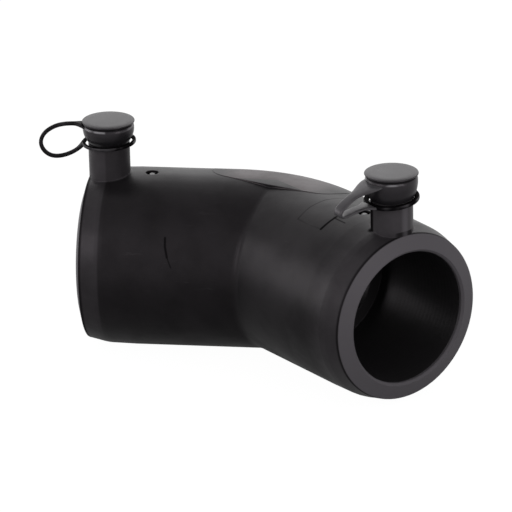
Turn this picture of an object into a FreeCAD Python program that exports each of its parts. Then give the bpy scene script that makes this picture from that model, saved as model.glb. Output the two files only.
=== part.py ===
import FreeCAD, Part
import Sketcher
import math
import os
import re

# Electrofusion elbow for 40 mm polyethylene pipe, 45 degrees.
# Millimetres. The origin is the centre of the mouth of socket A, +X runs into
# that socket along its axis, and +Z is the side that the terminals stand on.

V = FreeCAD.Vector
ORIGIN = V(0, 0, 0)
UP = V(0, 0, 1)
LEGS = ("a", "b")

# Driving dimensions. Heights of the terminals are measured from the socket
# axis, and insets along a socket are measured from its mouth.
SIZES = {
    # The two sockets and the bend between them.
    "BendAngle": 45.0,
    "LegLength": 60.3,
    "BodyRadius": 27.0,
    "BoreRadius": 20.2,
    "SocketDepth": 38.0,
    "WaterwayRadius": 16.3,
    "MouthChamfer": 0.7,
    "LipRadius": 25.4,
    "LipSetback": 1.4,
    "ShoulderInset": 7.5,
    "ShoulderRadius": 26.8,
    "TaperLength": 16.0,
    "ShoulderBlend": 12.0,
    "LipRound": 0.5,
    "CreaseFillet": 3.5,
    # The raised saddle that covers the outside of the bend.
    "SaddleBendRadius": 71.5,
    "SaddleReach": 22.0,
    "SaddleFront": 7.9,
    "SaddleCorner": 7.0,
    # The two terminals.
    "TerminalInset": 7.7,
    "ShroudRadius": 6.25,
    "ShroudTop": 36.3,
    "WellRadius": 4.75,
    "WellDepth": 12.0,
    "PinRadius": 2.0,
    "PinRecess": 3.2,
    "PinChamfer": 0.5,
    "FlangeRadius": 3.3,
    "FlangeThickness": 1.2,
    # The resistance wire in the socket walls.
    "WireRadius": 0.45,
    "WireCover": 0.6,
    "WirePitch": 6.25,
    "WireTurns": 4,
    "WireSides": 5,
    # The fusion indicators.
    "IndicatorInset": 20.6,
    "PitRadius": 1.95,
    "PitDepth": 4.4,
    "IndicatorRadius": 1.1,
    "FootRadius": 1.65,
    "FootHeight": 1.0,
    "IndicatorSink": 0.4,
    # The caps that close the terminals.
    "CapRadius": 7.95,
    "CapBaseRadius": 5.9,
    "CapHeight": 7.35,
    "DiscThickness": 0.7,
    "BevelWidth": 1.4,
    "BevelDrop": 0.35,
    "GrooveWidth": 0.6,
    "GrooveDepth": 0.75,
    "ShoulderDrop": 1.0,
    "BowlDepth": 4.5,
    "BowlRadius": 6.3,
    "PlugClearance": 0.15,
    "PlugLength": 4.0,
    "PlugWall": 1.3,
    "PlugHollow": 4.2,
    # The ring and the strap that hold each cap on its terminal.
    "RingClearance": 0.9,
    "RingWall": 1.05,
    "RingHeight": 1.0,
    "RingBead": 0.3,
    "StrapThickness": 1.15,
    "StrapWidth": 1.2,
    "StrapFlare": 5.0,
    "StrapStations": 12,
    "RootDrop": 1.6,
    # How far each ring's top stands above the shroud's rim and how far the
    # strap tilts it down, then the strap's way: its turn, its crest, its far
    # end, its lowest point and its rise to the ring.
    "RingLiftA": 0.85,
    "RingTiltA": 2.0,
    "TurnA": 186.0,
    "CrestReachA": 12.1,
    "CrestHeightA": 42.3,
    "FarReachA": 20.6,
    "FarHeightA": 36.4,
    "LowReachA": 16.4,
    "LowHeightA": 31.9,
    "RiseReachA": 10.0,
    "RiseHeightA": 33.7,
    "RingLiftB": -0.5,
    "RingTiltB": 5.0,
    "TurnB": 222.0,
    "CrestReachB": 13.8,
    "CrestHeightB": 39.2,
    "FarReachB": 18.8,
    "FarHeightB": 34.4,
    "LowReachB": 16.4,
    "LowHeightB": 33.1,
    "RiseReachB": 10.5,
    "RiseHeightB": 33.9,
}

# Heights above the socket axis that several pieces share.
WELL_FLOOR = "ShroudTop - WellDepth"
PIN_TOP = "ShroudTop - PinRecess"
COIL_RADIUS = "BoreRadius + WireCover + WireRadius"
COIL_CREST = "BoreRadius + WireCover + 2 * WireRadius"
PIT_FLOOR = "BodyRadius - PitDepth"
RING_BORE = "ShroudRadius + RingClearance"
RING_MIDDLE = "ShroudTop + RingLift@ - RingHeight / 2"


def ex(formula):
    """A formula on the sizes, with each size's name led to its cell."""
    return re.sub(r"[A-Z]\w+", lambda word: "Sizes." + word.group(), formula)


def value(doc, formula):
    """The number that a formula on the sizes gives."""
    result = doc.getObject("Sizes").evalExpression(ex(formula))
    return float(getattr(result, "Value", result))


def make_sheet(doc):
    """Puts every driving dimension in one cell with its own alias."""
    sheet = doc.addObject("Spreadsheet::Sheet", "Sizes")
    for row, (name, number) in enumerate(SIZES.items(), start=1):
        sheet.set("A%d" % row, name)
        sheet.set("B%d" % row, str(number))
        sheet.setAlias("B%d" % row, name)
    doc.recompute()


def bind(item, formulas):
    """Binds properties of an object to formulas on the sizes."""
    for path, formula in formulas.items():
        item.setExpression(path, ex(formula))


def place(item, x="0", y="0", z="0", turn="0", axis=UP):
    """Binds an object's place and its turn, about the vertical as a rule."""
    item.Placement = FreeCAD.Placement(ORIGIN, FreeCAD.Rotation(axis, 30))
    bind(item, {
        "Placement.Base.x": x,
        "Placement.Base.y": y,
        "Placement.Base.z": z,
        "Placement.Rotation.Angle": turn,
    })


def leg_point(leg, inset):
    """Where the axis of a leg lies at an inset from its mouth, as formulas."""
    if leg == "a":
        return inset, "0"
    along = "(LegLength - (%s))" % inset
    x = "LegLength + %s * cos(BendAngle)" % along
    y = "-%s * sin(BendAngle)" % along
    return x, y


def of_leg(formula, leg):
    """A formula whose names end in the leg's own letter where it says @."""
    return formula.replace("@", leg.upper())


def leg_turn(leg):
    """The turn that brings +X onto the way into a socket."""
    return "0" if leg == "a" else "180 - BendAngle"


def place_on_leg(item, leg, inset="0", z="0"):
    x, y = leg_point(leg, inset)
    place(item, x, y, z, leg_turn(leg))


def new_sketch(body, name, plane):
    """A sketch on one of a body's own origin planes."""
    sketch = body.newObject("Sketcher::SketchObject", name)
    for feature in body.Origin.OriginFeatures:
        if feature.Role == plane:
            sketch.AttachmentSupport = (feature, [""])
    sketch.MapMode = "FlatFace"
    return sketch


def hold(sketch, kind, side, end, formula):
    """Holds a point's distance from one of the sketch's axes to a formula."""
    distance = value(sketch.Document, formula)
    if abs(distance) < 1e-9:
        axis = -2 if kind == "DistanceX" else -1
        sketch.addConstraint(Sketcher.Constraint("PointOnObject", side, end, axis))
        return
    points = (-1, 1, side, end)
    if distance < 0:
        points = (side, end, -1, 1)
        formula = "-(%s)" % formula
    constraint = Sketcher.Constraint(kind, *points, abs(distance))
    index = sketch.addConstraint(constraint)
    sketch.setExpression("Constraints[%d]" % index, ex(formula))


def arc_between(start, end, radius):
    """A short arc that bulges to the right of the way, or left if radius < 0."""
    chord = end - start
    rise = abs(radius) - math.sqrt(radius ** 2 - (chord.Length / 2) ** 2)
    across = V(chord.y, -chord.x, 0).normalize()
    crown = (start + end) * 0.5 + across * math.copysign(rise, radius)
    return Part.Arc(start, crown, end)


def closed_outline(sketch, corners, arcs=None):
    """Draws a closed outline whose corners and arc radii are formulas.

    arcs gives the radius of each side that is an arc, by the side's number.
    """
    doc = sketch.Document
    arcs = arcs or {}
    points = [V(value(doc, x), value(doc, y), 0) for x, y in corners]
    count = len(points)
    first_end = []
    for side, start in enumerate(points):
        end = points[(side + 1) % count]
        if side in arcs:
            sketch.addGeometry(arc_between(start, end, value(doc, arcs[side])))
        else:
            sketch.addGeometry(Part.LineSegment(start, end))
        at_start = sketch.getPoint(side, 1).distanceToPoint(start) < 1e-6
        first_end.append(1 if at_start else 2)
    for side in range(count):
        following = (side + 1) % count
        sketch.addConstraint(Sketcher.Constraint(
            "Coincident", side, 3 - first_end[side], following, first_end[following]))
    for side, (x, y) in enumerate(corners):
        hold(sketch, "DistanceX", side, first_end[side], x)
        hold(sketch, "DistanceY", side, first_end[side], y)
    for side, formula in arcs.items():
        radius = value(doc, formula)
        index = sketch.addConstraint(Sketcher.Constraint("Radius", side, abs(radius)))
        signed = formula if radius > 0 else "-(%s)" % formula
        sketch.setExpression("Constraints[%d]" % index, ex(signed))


def turned_body(doc, name, plane, axis, corners, arcs=None):
    """A body turned from a closed outline about one of its sketch's axes."""
    body = doc.addObject("PartDesign::Body", name)
    sketch = new_sketch(body, name + "_outline", plane)
    closed_outline(sketch, corners, arcs)
    turning = body.newObject("PartDesign::Revolution", name + "_turning")
    turning.Profile = sketch
    turning.ReferenceAxis = (sketch, [axis])
    turning.Angle = 360
    doc.recompute()
    return body


def cylinder(doc, name, radius, height):
    item = doc.addObject("Part::Cylinder", name)
    bind(item, {"Radius": radius, "Height": height})
    return item


def fused(doc, name, shapes):
    item = doc.addObject("Part::MultiFuse", name)
    item.Shapes = shapes
    item.Refine = True
    return item


def cut(doc, name, base, tool):
    item = doc.addObject("Part::Cut", name)
    item.Base = base
    item.Tool = tool
    item.Refine = True
    return item


def common(doc, name, base, tool):
    item = doc.addObject("Part::Common", name)
    item.Base = base
    item.Tool = tool
    return item


def make_leg(doc, leg):
    """The outside of one leg: a barrel with a tapered mouth and a coned lip."""
    corners = [
        ("0", "0"),
        ("0", "BoreRadius + MouthChamfer"),
        ("LipSetback", "LipRadius"),
        ("ShoulderInset", "ShoulderRadius"),
        ("TaperLength", "BodyRadius"),
        ("LegLength", "BodyRadius"),
        ("LegLength", "0"),
    ]
    body = turned_body(doc, "leg_" + leg, "XY_Plane", "H_Axis", corners)
    soften(body, "leg_lip_" + leg, "LipSetback", "LipRound")
    soften(body, "leg_shoulder_" + leg, "ShoulderInset", "ShoulderBlend")
    place_on_leg(body, leg)
    return body


def soften(body, name, inset, radius):
    """Rounds the ring of edge that lies at one inset along a turned body."""
    base = body.Tip
    at = value(body.Document, inset)
    ring = []
    for number, edge in enumerate(base.Shape.Edges, start=1):
        points = [corner.Point for corner in edge.Vertexes] + [edge.CenterOfMass]
        if all(abs(point.x - at) < 1e-6 for point in points):
            ring.append("Edge%d" % number)
    fillet = body.newObject("PartDesign::Fillet", name)
    fillet.Base = (base, ring)
    bind(fillet, {"Radius": radius})
    body.Document.recompute()


def make_bore(doc, leg):
    """The hollow of one socket, from outside its mouth to the pipe stop."""
    corners = [
        ("-LipSetback", "0"),
        ("-LipSetback", "BoreRadius + MouthChamfer"),
        ("0", "BoreRadius + MouthChamfer"),
        ("MouthChamfer", "BoreRadius"),
        ("SocketDepth", "BoreRadius"),
        ("SocketDepth", "0"),
    ]
    body = turned_body(doc, "bore_" + leg, "XY_Plane", "H_Axis", corners)
    place_on_leg(body, leg)
    return body


def make_bend(doc, name, bend_radius, tube_radius):
    """A round bar bent to the elbow's angle, ending square on both axes."""
    bend = doc.addObject("Part::Torus", name)
    bind(bend, {
        "Radius1": bend_radius,
        "Radius2": tube_radius,
        "Angle3": "BendAngle",
    })
    setback = "LegLength - (%s) * tan(BendAngle / 2)" % bend_radius
    place(bend, setback, "-(%s)" % bend_radius, "0", "90 - BendAngle")
    return bend


def make_saddle_plan(doc):
    """An upright block over the outside of the bend, in the saddle's plan."""
    half = "(BendAngle / 2)"
    end_drop = "(SaddleReach * sin(%s))" % half
    end_run = "(SaddleReach * cos(%s))" % half
    near = "((%s - SaddleFront) / cos(%s))" % (end_drop, half)
    far = "(1.5 * BodyRadius)"
    near_x = "%s + %s * sin(%s)" % (end_run, near, half)
    far_x = "%s + %s * sin(%s)" % (end_run, far, half)
    far_y = "%s * cos(%s) - %s" % (far, half, end_drop)
    body = doc.addObject("PartDesign::Body", "saddle_plan")
    sketch = new_sketch(body, "saddle_outline", "XY_Plane")
    closed_outline(sketch, [
        ("-(%s)" % near_x, "-SaddleFront"),
        (near_x, "-SaddleFront"),
        (far_x, far_y),
        ("-(%s)" % far_x, far_y),
    ])
    pad = body.newObject("PartDesign::Pad", "saddle_block")
    pad.Profile = sketch
    pad.SideType = "Symmetric"
    bind(pad, {"Length": "3 * BodyRadius"})
    doc.recompute()
    corners = body.newObject("PartDesign::Fillet", "saddle_corners")
    corners.Base = (pad, upright_edges(pad.Shape, -value(doc, "SaddleFront")))
    bind(corners, {"Radius": "SaddleCorner"})
    doc.recompute()
    place(body, "LegLength", "0", "0", "-BendAngle / 2")
    return body


def upright_edges(shape, y):
    """The names of a block's upright edges that stand at one y."""
    names = []
    for number, edge in enumerate(shape.Edges, start=1):
        top = edge.Vertexes[0].Point
        foot = edge.Vertexes[-1].Point
        upright = abs(top.x - foot.x) + abs(top.y - foot.y) < 1e-6
        if upright and abs(top.y - y) < 1e-6:
            names.append("Edge%d" % number)
    return names


def make_crease(doc, shell):
    """Rounds the valley where the two legs meet on the inside of the bend."""
    doc.recompute()
    centre = V(value(doc, "LegLength"), 0, 0)
    half = math.radians(value(doc, "BendAngle / 2"))
    along = V(math.cos(half), -math.sin(half), 0)
    valley = []
    for number, edge in enumerate(shell.Shape.Edges, start=1):
        middle = edge.valueAt((edge.FirstParameter + edge.LastParameter) / 2)
        on_plane = abs((middle - centre).dot(along)) < 1e-4
        curved = not isinstance(edge.Curve, Part.Line)
        if on_plane and curved:
            valley.append(number)
    fillet = doc.addObject("Part::Fillet", "crease")
    fillet.Base = shell
    radius = value(doc, "CreaseFillet")
    fillet.Edges = [(number, radius, radius) for number in valley]
    doc.recompute()
    return fillet


def make_pin(doc, leg):
    """A terminal pin, whose flange lies flush in the floor of its well."""
    corners = [
        ("0", COIL_CREST),
        ("PinRadius", COIL_CREST),
        ("PinRadius", "(%s) - FlangeThickness" % WELL_FLOOR),
        ("FlangeRadius", "(%s) - FlangeThickness" % WELL_FLOOR),
        ("FlangeRadius", WELL_FLOOR),
        ("PinRadius", WELL_FLOOR),
        ("PinRadius", "%s - PinChamfer" % PIN_TOP),
        ("PinRadius - PinChamfer", PIN_TOP),
        ("0", PIN_TOP),
    ]
    pin = turned_body(doc, "terminal_pin_" + leg, "XZ_Plane", "V_Axis", corners)
    place_on_leg(pin, leg, "TerminalInset")
    return pin


def make_indicator(doc, leg):
    """A fusion indicator, whose foot stands on the floor of its pit."""
    top = "BodyRadius - IndicatorSink"
    corners = [
        ("0", PIT_FLOOR),
        ("FootRadius", PIT_FLOOR),
        ("FootRadius", "%s + FootHeight" % PIT_FLOOR),
        ("IndicatorRadius", "%s + FootHeight + FootRadius - IndicatorRadius" % PIT_FLOOR),
        ("IndicatorRadius", "%s - IndicatorRadius / 3" % top),
        ("IndicatorRadius * 2 / 3", top),
        ("0", top),
    ]
    name = "fusion_indicator_" + leg
    pin = turned_body(doc, name, "XZ_Plane", "V_Axis", corners)
    place_on_leg(pin, leg, "IndicatorInset")
    return pin


def make_elbow(doc, pins):
    """The moulded body: legs, saddle and shrouds, hollowed out as one piece."""
    legs = fused(doc, "legs", [make_leg(doc, leg) for leg in LEGS])
    plan = make_saddle_plan(doc)
    crease = make_crease(doc, cut(doc, "shell", legs, plan))
    tube = make_bend(doc, "saddle_tube", "SaddleBendRadius", "BodyRadius")
    saddle = common(doc, "saddle", tube, plan)
    solids = [crease, saddle]
    bend = "(LegLength - SocketDepth) / tan(BendAngle / 2)"
    hollows = [make_bend(doc, "waterway", bend, "WaterwayRadius")]
    for leg in LEGS:
        root = "BoreRadius + MouthChamfer"
        shroud = cylinder(doc, "shroud_" + leg, "ShroudRadius", "ShroudTop - (%s)" % root)
        place_on_leg(shroud, leg, "TerminalInset", root)
        solids.append(shroud)
        well = cylinder(doc, "well_" + leg, "WellRadius", "2 * WellDepth")
        place_on_leg(well, leg, "TerminalInset", WELL_FLOOR)
        pit = cylinder(doc, "pit_" + leg, "PitRadius", "2 * PitDepth")
        place_on_leg(pit, leg, "IndicatorInset", PIT_FLOOR)
        hollows += [make_bore(doc, leg), well, pit]
    solid = fused(doc, "moulding", solids)
    hollow = fused(doc, "hollows", hollows + pins)
    elbow = cut(doc, "elbow_body", solid, hollow)
    place(elbow)
    return elbow


def wire_along(doc, path):
    """A bar with the wire's section, a few flats for its round, along a path."""
    edge = path.OrderedEdges[0]
    start = edge.valueAt(edge.FirstParameter)
    way = edge.tangentAt(edge.FirstParameter)
    circle = Part.Circle(start, way, value(doc, "WireRadius"))
    sides = round(value(doc, "WireSides"))
    corners = [circle.value(2 * math.pi * side / sides) for side in range(sides)]
    section = Part.makePolygon(corners + corners[:1])
    return path.makePipeShell([section], True, True)


def make_wire(doc):
    """The resistance wire: a winding in each socket, and the run between them."""
    radius = value(doc, "WireRadius")
    coil = value(doc, COIL_RADIUS)
    pitch = value(doc, "WirePitch")
    length = pitch * round(value(doc, "WireTurns"))
    inset = value(doc, "TerminalInset")
    stations = {}
    pieces = []
    for leg in LEGS:
        x, y = (value(doc, formula) for formula in leg_point(leg, "0"))
        inward = FreeCAD.Rotation(UP, value(doc, leg_turn(leg))).multVec(V(1, 0, 0))
        mouth = V(x, y, 0)
        frame = FreeCAD.Rotation(UP, V(0, 0, 0), inward, "ZXY")
        winding = wire_along(doc, Part.Wire(Part.makeHelix(pitch, length, coil)))
        winding.Placement = FreeCAD.Placement(mouth + inward * inset, frame)
        pieces.append(winding)
        last_turn = mouth + inward * (inset + length - radius) + UP * coil
        stop = mouth + inward * value(doc, "SocketDepth") + UP * coil
        stations[leg] = (last_turn, stop)
    (turn_a, stop_a), (turn_b, stop_b) = stations["a"], stations["b"]
    bend = (value(doc, "LegLength") - value(doc, "SocketDepth"))
    half = math.radians(value(doc, "BendAngle / 2"))
    outward = V(math.sin(half), math.cos(half), 0)
    crown = V(value(doc, "LegLength"), 0, coil)
    crown -= outward * (bend * math.tan(half / 2))
    crossing = Part.Wire([
        Part.LineSegment(turn_a, stop_a).toShape(),
        Part.Arc(stop_a, crown, stop_b).toShape(),
        Part.LineSegment(stop_b, turn_b).toShape(),
    ])
    pieces.append(wire_along(doc, crossing))
    wire = doc.addObject("Part::Feature", "heating_wire")
    wire.Shape = pieces[0].multiFuse(pieces[1:])
    wire.Placement = FreeCAD.Placement()
    return wire


def make_cap_head(doc, leg):
    """The cap's head: a thin disc over a bowl, with a hollow plug below."""
    plug = "WellRadius - PlugClearance"
    bowl = "ShroudTop + BowlDepth"
    disc = "ShroudTop + CapHeight - DiscThickness"
    neck = "CapRadius - GrooveDepth"
    bulge = "CapRadius - GrooveDepth / 3"
    corners = [
        ("%s - PlugWall" % plug, "ShroudTop - PlugLength"),
        ("%s - PlugWall / 3" % plug, "ShroudTop - PlugLength"),
        (plug, "ShroudTop - PlugLength + PlugWall / 3"),
        (plug, "ShroudTop"),
        ("CapBaseRadius", "ShroudTop"),
        (bulge, bowl),
        (bulge, "%s - GrooveWidth - ShoulderDrop" % disc),
        (neck, "%s - GrooveWidth" % disc),
        (neck, disc),
        ("CapRadius", disc),
        ("CapRadius", "%s + DiscThickness - BevelDrop" % disc),
        ("CapRadius - BevelWidth", "%s + DiscThickness" % disc),
        ("0", "%s + DiscThickness" % disc),
        ("0", "ShroudTop + PlugHollow"),
        ("%s - PlugWall" % plug, "ShroudTop + PlugHollow"),
    ]
    arcs = {4: "BowlRadius"}
    return turned_body(doc, "cap_head_" + leg, "XZ_Plane", "V_Axis", corners, arcs)


def make_ring(doc, leg):
    """The loose ring round the terminal: a band with a rounded outside."""
    outer = "%s + RingWall - RingBead" % RING_BORE
    bead = "(RingHeight ^ 2 / 4 + RingBead ^ 2) / (2 * RingBead)"
    corners = [
        (RING_BORE, "-RingHeight / 2"),
        (outer, "-RingHeight / 2"),
        (outer, "RingHeight / 2"),
        (RING_BORE, "RingHeight / 2"),
    ]
    name = "cap_ring_" + leg
    ring = turned_body(doc, name, "XZ_Plane", "V_Axis", corners, {1: bead})
    place(ring, "0", "0", of_leg(RING_MIDDLE, leg), of_leg("RingTilt@", leg), V(0, 1, 0))
    return ring


def strap_line(doc, leg):
    """The strap's middle line, seen from the side: out, round and back."""
    reach = "(%s + RingWall / 2)" % RING_BORE
    way = [
        ("WellRadius", "ShroudTop + CapHeight - RootDrop"),
        ("CrestReach@", "CrestHeight@"),
        ("FarReach@", "FarHeight@"),
        ("LowReach@", "LowHeight@"),
        ("RiseReach@", "RiseHeight@"),
        (reach, "%s - %s * sin(RingTilt@)" % (RING_MIDDLE, reach)),
    ]
    points = []
    for out, height in way:
        across = value(doc, of_leg(out, leg))
        up = value(doc, of_leg(height, leg))
        points.append(V(across, 0, up))
    curve = Part.BSplineCurve()
    curve.interpolate(points)
    return curve


def strap_plan(doc):
    """The strap seen from above: it flares into the cap and the ring."""
    half = value(doc, "StrapWidth / 2")
    flare = value(doc, "StrapFlare")
    rim = value(doc, "CapRadius - GrooveDepth")
    far = value(doc, "2 * max(FarReachA; FarReachB)")
    start = math.sqrt((rim + flare) ** 2 - (half + flare) ** 2)
    lean = math.atan2(half + flare, start)
    touch = V(rim * math.cos(lean), rim * math.sin(lean), 0)
    eye = V(start, half + flare, 0)
    toward = (touch - eye).normalize() + V(0, -1, 0)
    crown = eye + toward.normalize() * flare
    edge = V(start, half, 0)
    end = V(far, half, 0)
    points = [touch, crown, edge, end]
    mirrored = [V(point.x, -point.y, 0) for point in points]
    return Part.Face(Part.Wire([
        Part.Arc(touch, crown, edge).toShape(),
        Part.LineSegment(edge, end).toShape(),
        Part.LineSegment(end, mirrored[3]).toShape(),
        Part.LineSegment(mirrored[3], mirrored[2]).toShape(),
        Part.Arc(mirrored[2], mirrored[1], mirrored[0]).toShape(),
        Part.LineSegment(mirrored[0], touch).toShape(),
    ]))


def strap_side(doc, leg):
    """The strap seen from the side: its middle line given its thickness."""
    line = strap_line(doc, leg)
    half = value(doc, "StrapThickness / 2")
    steps = round(value(doc, "StrapStations"))
    first = line.FirstParameter
    span = line.LastParameter - first
    outer = []
    inner = []
    for step in range(steps + 1):
        at = first + span * step / steps
        way = line.tangent(at)[0]
        across = V(-way.z, 0, way.x) * half
        outer.append(line.value(at) + across)
        inner.append(line.value(at) - across)
    edges = []
    for side in (outer, inner):
        curve = Part.BSplineCurve()
        curve.interpolate(side)
        edges.append(curve.toShape())
    edges.append(Part.LineSegment(outer[0], inner[0]).toShape())
    edges.append(Part.LineSegment(outer[-1], inner[-1]).toShape())
    return Part.Face(Part.Wire(Part.__sortEdges__(edges)))


def make_strap(doc, leg):
    """The strap: its side view given a width, trimmed to its plan."""
    reach = value(doc, "CapRadius")
    side = strap_side(doc, leg)
    side.translate(V(0, -reach, 0))
    ribbon = side.extrude(V(0, 2 * reach, 0))
    block = strap_plan(doc).extrude(UP * value(doc, "2 * ShroudTop"))
    strap = doc.addObject("Part::Feature", "cap_strap_" + leg)
    strap.Shape = ribbon.common(block)
    return strap


def make_cap(doc, leg):
    """One cap: its head, strap and ring, moulded together."""
    pieces = [make_cap_head(doc, leg), make_strap(doc, leg), make_ring(doc, leg)]
    cap = fused(doc, "terminal_cap_" + leg, pieces)
    x, y = leg_point(leg, "TerminalInset")
    place(cap, x, y, "0", of_leg("Turn@", leg))
    return cap


def check(doc, names):
    """Stops the build if an object failed or a sub-part isn't sound."""
    for item in doc.Objects:
        if "Invalid" in item.State or "Error" in item.State:
            raise RuntimeError("%s: %s" % (item.Name, item.State))
    for name in names:
        shape = doc.getObject(name).Shape
        if shape.isNull() or not shape.isValid():
            raise RuntimeError(name)
        print(name, "solids", len(shape.Solids), "volume", round(shape.Volume, 2))


def main():
    doc = FreeCAD.newDocument("ElectrofusionElbow")
    make_sheet(doc)
    pins = [make_pin(doc, leg) for leg in LEGS]
    sub_parts = list(pins)
    sub_parts.append(make_elbow(doc, pins))
    sub_parts += [make_indicator(doc, leg) for leg in LEGS]
    sub_parts.append(make_wire(doc))
    sub_parts += [make_cap(doc, leg) for leg in LEGS]
    doc.recompute()
    check(doc, [item.Name for item in sub_parts])
    os.makedirs("parts", exist_ok=True)
    for item in sub_parts:
        item.Label = item.Name
        item.Shape.exportStep("parts/%s.step" % item.Label)


main()
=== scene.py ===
# %% [markdown]
# # An electrofusion elbow
# The elbow welds two plastic pipes together at 45 degrees. Its CAD solids arrive as a fixed frame,
# in metres, and keep their places. This lesson gives them light, a camera and finishes. It also adds
# smooth surfaces where the CAD is plainer than the real thing: on the saddle and on the caps.

# %% Load the frame
import bmesh
import bpy
import math
import numpy as np
from mathutils import Matrix, Vector


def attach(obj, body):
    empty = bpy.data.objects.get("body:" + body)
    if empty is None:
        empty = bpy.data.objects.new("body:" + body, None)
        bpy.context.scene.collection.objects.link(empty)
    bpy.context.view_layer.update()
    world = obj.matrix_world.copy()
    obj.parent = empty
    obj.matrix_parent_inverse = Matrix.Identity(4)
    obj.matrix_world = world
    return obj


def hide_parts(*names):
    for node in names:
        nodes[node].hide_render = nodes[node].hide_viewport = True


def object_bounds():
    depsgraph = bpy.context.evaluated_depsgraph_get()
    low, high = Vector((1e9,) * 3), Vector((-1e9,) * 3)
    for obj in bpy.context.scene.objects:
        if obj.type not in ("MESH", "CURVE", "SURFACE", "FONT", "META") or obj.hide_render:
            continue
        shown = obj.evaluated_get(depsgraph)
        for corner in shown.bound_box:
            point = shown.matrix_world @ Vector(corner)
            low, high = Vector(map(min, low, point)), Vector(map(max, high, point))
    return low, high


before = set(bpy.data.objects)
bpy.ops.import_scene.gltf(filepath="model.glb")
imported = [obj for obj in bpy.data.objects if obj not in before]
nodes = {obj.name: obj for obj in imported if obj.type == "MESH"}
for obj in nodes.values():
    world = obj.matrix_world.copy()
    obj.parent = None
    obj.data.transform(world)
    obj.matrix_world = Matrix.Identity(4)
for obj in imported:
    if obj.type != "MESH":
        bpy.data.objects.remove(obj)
cad_low, cad_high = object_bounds()
print("nodes:", sorted(nodes))
print("CAD box in mm:", [round((b - a) * 1000, 1) for a, b in zip(cad_low, cad_high)])

# %% [markdown]
# ## The camera
# The picture was taken from some way off with a long lens, looking down at about 22 degrees. A Track
# To constraint could aim the camera, but it leaves out the picture's small roll. A camera's matrix is
# its right, up and backward directions, so they are worked out from three angles.

# %% Camera
YAW = math.radians(-8.53)
PITCH = math.radians(21.73)
ROLL = math.radians(-1.37)
CAMERA_PLACE = Vector((0.22859, -1.17955, 0.47623))
FOCAL_PIXELS = 4235.7
FRAME_PIXELS = 512


def aim(yaw, pitch, roll):
    """The rotation that looks along yaw and down by pitch, with the picture turned by roll."""
    ahead = Vector((math.sin(yaw) * math.cos(pitch), math.cos(yaw) * math.cos(pitch), -math.sin(pitch)))
    level = Vector((math.cos(yaw), -math.sin(yaw), 0))
    above = level.cross(ahead)
    right = math.cos(roll) * level + math.sin(roll) * above
    up = -math.sin(roll) * level + math.cos(roll) * above
    return Matrix((right, up, -ahead)).transposed()


lens = bpy.data.cameras.new("long_lens")
lens.sensor_width = 36
lens.lens = lens.sensor_width * FOCAL_PIXELS / FRAME_PIXELS
lens.clip_start = 0.05
lens.clip_end = 20
camera = bpy.data.objects.new("camera", lens)
camera.matrix_world = Matrix.Translation(CAMERA_PLACE) @ aim(YAW, PITCH, ROLL).to_4x4()
bpy.context.scene.collection.objects.link(camera)
bpy.context.scene.camera = camera
print("lens:", round(lens.lens, 1), "mm")

# %% [markdown]
# ## Where things are
# The finishes follow the part's own features, so they need its few key places: the mouth of each
# socket, the way into it, and the axis of each terminal. All are in metres, in the CAD's frame.

# %% Key places
LEG_LENGTH = 0.0603
TERMINAL_INSET = 0.0077
BEND = math.radians(45)
ORIGIN = (0, 0, 0)
UP = (0, 0, 1)
CORNER = (LEG_LENGTH, 0, 0)
MOUTHS = {
    "a": Vector(ORIGIN),
    "b": Vector((LEG_LENGTH * (1 + math.cos(BEND)), -LEG_LENGTH * math.sin(BEND), 0)),
}
INWARD = {"a": Vector((1, 0, 0)), "b": Vector((-math.cos(BEND), math.sin(BEND), 0))}
TERMINALS = {leg: MOUTHS[leg] + TERMINAL_INSET * INWARD[leg] for leg in MOUTHS}
print("terminal B stands at", [round(1000 * c, 1) for c in TERMINALS["b"]], "mm")

# %% [markdown]
# ## Shader sums as Python sums
# A material is a tree of nodes, and a sum of a few masks soon needs dozens of them. They could be
# placed by hand, but wrapping a socket in a small class lets a mask be written as `1 - grain * 0.3`.


# %% Values
class Value:
    """A number on a material's surface. Python's operators add the Math nodes."""

    def __init__(self, recipe, socket):
        self.recipe = recipe
        self.socket = socket

    def math(self, operation, *values):
        return self.recipe.node("ShaderNodeMath", {"operation": operation}, list(values))["Value"]

    def __add__(self, other):
        return self.math("ADD", self, other)

    def __sub__(self, other):
        return self.math("SUBTRACT", self, other)

    def __mul__(self, other):
        return self.math("MULTIPLY", self, other)

    def __pow__(self, other):
        return self.math("POWER", self, other)

    def __rsub__(self, other):
        return self.math("SUBTRACT", other, self)

    __radd__ = __add__
    __rmul__ = __mul__

    def least(self, other):
        return self.math("MINIMUM", self, other)

    def most(self, other):
        return self.math("MAXIMUM", self, other)

    def sine(self):
        return self.math("SINE", self)

    def rise(self, low, high):
        """0 below low, 1 above high, and smooth between them."""
        settings = {"interpolation_type": "SMOOTHSTEP"}
        return self.recipe.node("ShaderNodeMapRange", settings, [self, low, high])["Result"]

    def fall(self, low, high):
        """1 below low, 0 above high, and smooth between them."""
        return 1 - self.rise(low, high)


# %% [markdown]
# ## Recipes
# A recipe holds the nodes of one material or of the world. One method makes any node, with its
# settings set before its sockets, because a setting can change which sockets a node has.

# %% Recipes
INK = (0.003, 0.0027, 0.003, 1)
# A stroke is full out to this share of its width to each side, and fades from there to its edge.
STROKE_CORE = 0.3
MIX_FACTOR, MIX_FIRST, MIX_SECOND = 0, 6, 7


def opaque(colour):
    """A colour with its alpha, or a link to one as it is."""
    return colour if isinstance(colour, Value) else (*colour, 1)


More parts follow.
